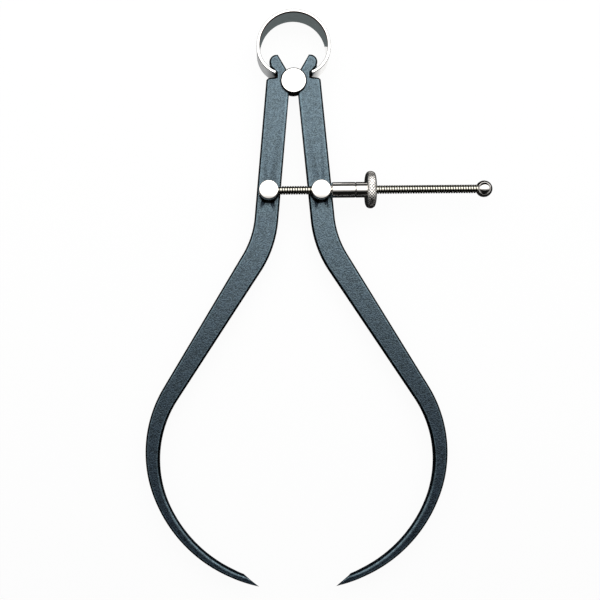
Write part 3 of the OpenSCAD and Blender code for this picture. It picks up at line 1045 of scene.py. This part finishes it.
def photo_camera():
    """The photograph's camera: square on to the legs, rolled a little, its lens axis left of the middle."""
    off_axis = FULCRUM_PIXEL - LENS_AXIS_PIXEL
    off_axis.y = -off_axis.y
    eye = Matrix.Rotation(CAMERA_ROLL, 2) @ -off_axis * METRES_PER_PIXEL
    data = bpy.data.cameras.new("photo_camera")
    data.sensor_width = SENSOR
    data.lens = SENSOR * EYE_DISTANCE / (PHOTO_SIDE * METRES_PER_PIXEL)
    data.shift_x = 0.5 - LENS_AXIS_PIXEL.x / PHOTO_SIDE
    data.shift_y = LENS_AXIS_PIXEL.y / PHOTO_SIDE - 0.5
    data.clip_start = 1 * MM
    camera = bpy.data.objects.new("photo_camera", data)
    camera.location = (eye.x, eye.y, leg_high.z + EYE_DISTANCE)
    camera.rotation_euler = (0, 0, CAMERA_ROLL)
    bpy.context.scene.collection.objects.link(camera)
    bpy.context.scene.camera = camera


def softbox():
    """A large soft lamp that looks straight down, brightest past the tool's head and dimmer at its edges."""
    width = BOX["right"] - BOX["left"]
    depth = BOX["far"] - BOX["near"]
    data = bpy.data.lights.new("softbox", "AREA")
    data.shape = "RECTANGLE"
    data.size = width
    data.size_y = depth
    data.energy = pi * width * depth
    data.use_nodes = True
    tree = data.node_tree
    parts = coordinates(tree, add_node(tree, "ShaderNodeNewGeometry").outputs["Position"])
    level = BOX_CORE - BOX_EDGE
    for axis, dim, full, left_over in BOX_FALLS:
        level = math_node(tree, "MULTIPLY", spread(tree, parts[axis], dim, full, left_over), level)
    feed(tree, tree.nodes["Emission"].inputs["Strength"], math_node(tree, "ADD", level, BOX_EDGE))
    lamp = bpy.data.objects.new("softbox", data)
    lamp.location = ((BOX["left"] + BOX["right"]) / 2, (BOX["near"] + BOX["far"]) / 2, BOX_HEIGHT)
    lamp.visible_camera = False
    bpy.context.scene.collection.objects.link(lamp)


def background_mask(tree):
    """1 where a camera, glossy or transmission ray sees the background, so that metal shows it pale too."""
    path = add_node(tree, "ShaderNodeLightPath").outputs
    either = math_node(tree, "MAXIMUM", path["Is Camera Ray"], path["Is Glossy Ray"])
    return math_node(tree, "MAXIMUM", either, path["Is Transmission Ray"])


def show_either(tree, output, share, first, second):
    """Puts out the first shader, or the second by its share."""
    mix = add_node(tree, "ShaderNodeMixShader", {0: share, 1: first.outputs[0], 2: second.outputs[0]})
    feed(tree, tree.nodes[output].inputs["Surface"], mix.outputs[0])


def white_room():
    """A room that lights the tool a little and is seen as white."""
    world = bpy.data.worlds.new("white_room")
    world.use_nodes = True
    tree = world.node_tree
    dim = tree.nodes["Background"]
    set_inputs(tree, dim, {"Color": ROOM_TONE})
    white = add_node(tree, "ShaderNodeBackground", {"Color": WHITE})
    show_either(tree, "World Output", background_mask(tree), dim, white)
    bpy.context.scene.world = world


def flat_sheet(name, left, right, near, far, height, material):
    """A level sheet by its edges and its height."""
    bm = bmesh.new()
    bmesh.ops.create_grid(bm, x_segments=1, y_segments=1, size=0.5)
    bmesh.ops.scale(bm, verts=bm.verts, vec=(right - left, far - near, 1))
    bmesh.ops.translate(bm, verts=bm.verts, vec=((left + right) / 2, (near + far) / 2, height))
    return finish_mesh(name, bm, material)


def pale_floor():
    """A floor that is seen as white, with a share of its own shading for the tool's shadow."""
    material, tree, shader = new_material("pale_floor")
    set_inputs(tree, shader, {"Base Color": FLOOR_TONE, "Roughness": FLOOR_ROUGH})
    share = math_node(tree, "MULTIPLY", background_mask(tree), 1 - FLOOR_SHADOW)
    show_either(tree, "Material Output", share, shader, add_node(tree, "ShaderNodeEmission"))
    half = FLOOR_SIDE / 2
    flat_sheet("pale_floor", -half, half, -half, half, cad_box[0].z, material)


def matt_tone(name, tone):
    """A surface of one tone, whatever the light."""
    material, tree, shader = new_material(name)
    set_inputs(tree, shader, {
        "Base Color": BLACK,
        "Specular IOR Level": 0,
        "Emission Color": tone,
        "Emission Strength": 1,
    })
    return material


def black_cloth():
    """Black cloth hung all round, with pale light along the horizon at both sides."""
    material = matt_tone("black_cloth", CLOTH_TONE)
    tree = material.node_tree
    spot = add_node(tree, "ShaderNodeNewGeometry").outputs["Position"]
    way = coordinates(tree, vector_node(tree, "NORMALIZE", spot))
    aside = spread(tree, math_node(tree, "ABSOLUTE", way["X"]), *HORIZON_ASIDE)
    glow = math_node(tree, "MULTIPLY", fade(tree, way["Z"], *HORIZON_RISE), aside)
    tone = blend_colour(tree, glow, CLOTH_TONE, HORIZON_TONE)
    set_inputs(tree, tree.nodes["Principled BSDF"], {"Emission Color": tone})
    return material


def seen_in_metal_only(piece):
    piece.visible_camera = False
    piece.visible_diffuse = False
    piece.visible_shadow = False


def dark_surround():
    """Black cloth round the table and toned cards under the tool, which give bright metal its dark sides. The
    cards' tones are painted shade and light of the floor, seen only in reflections.
    """
    bm = bmesh.new()
    bmesh.ops.create_uvsphere(bm, u_segments=2 * CLOTH_STEPS, v_segments=CLOTH_STEPS, radius=CLOTH_RADIUS)
    seen_in_metal_only(finish_mesh("black_cloth", bm, black_cloth()))
    for layer, (name, (*edges, tone)) in enumerate(CARDS.items(), 1):
        height = cad_box[0].z + layer * CARD_LIFT
        seen_in_metal_only(flat_sheet(name, *edges, height, matt_tone(name, tone)))


photo_camera()
softbox()
white_room()
pale_floor()
dark_surround()
leg("left_leg", "screw_post")
leg("right_leg", "nut_post")
bow_half("left_leg", -1)
bow_half("right_leg", 1)
fulcrum_stud()
swivel_post("screw_post", "screw")
swivel_post("nut_post", "nut_post")
adjusting_screw()
thrust_sleeve()
adjusting_nut()

bpy.context.scene.view_settings.view_transform = "Standard"
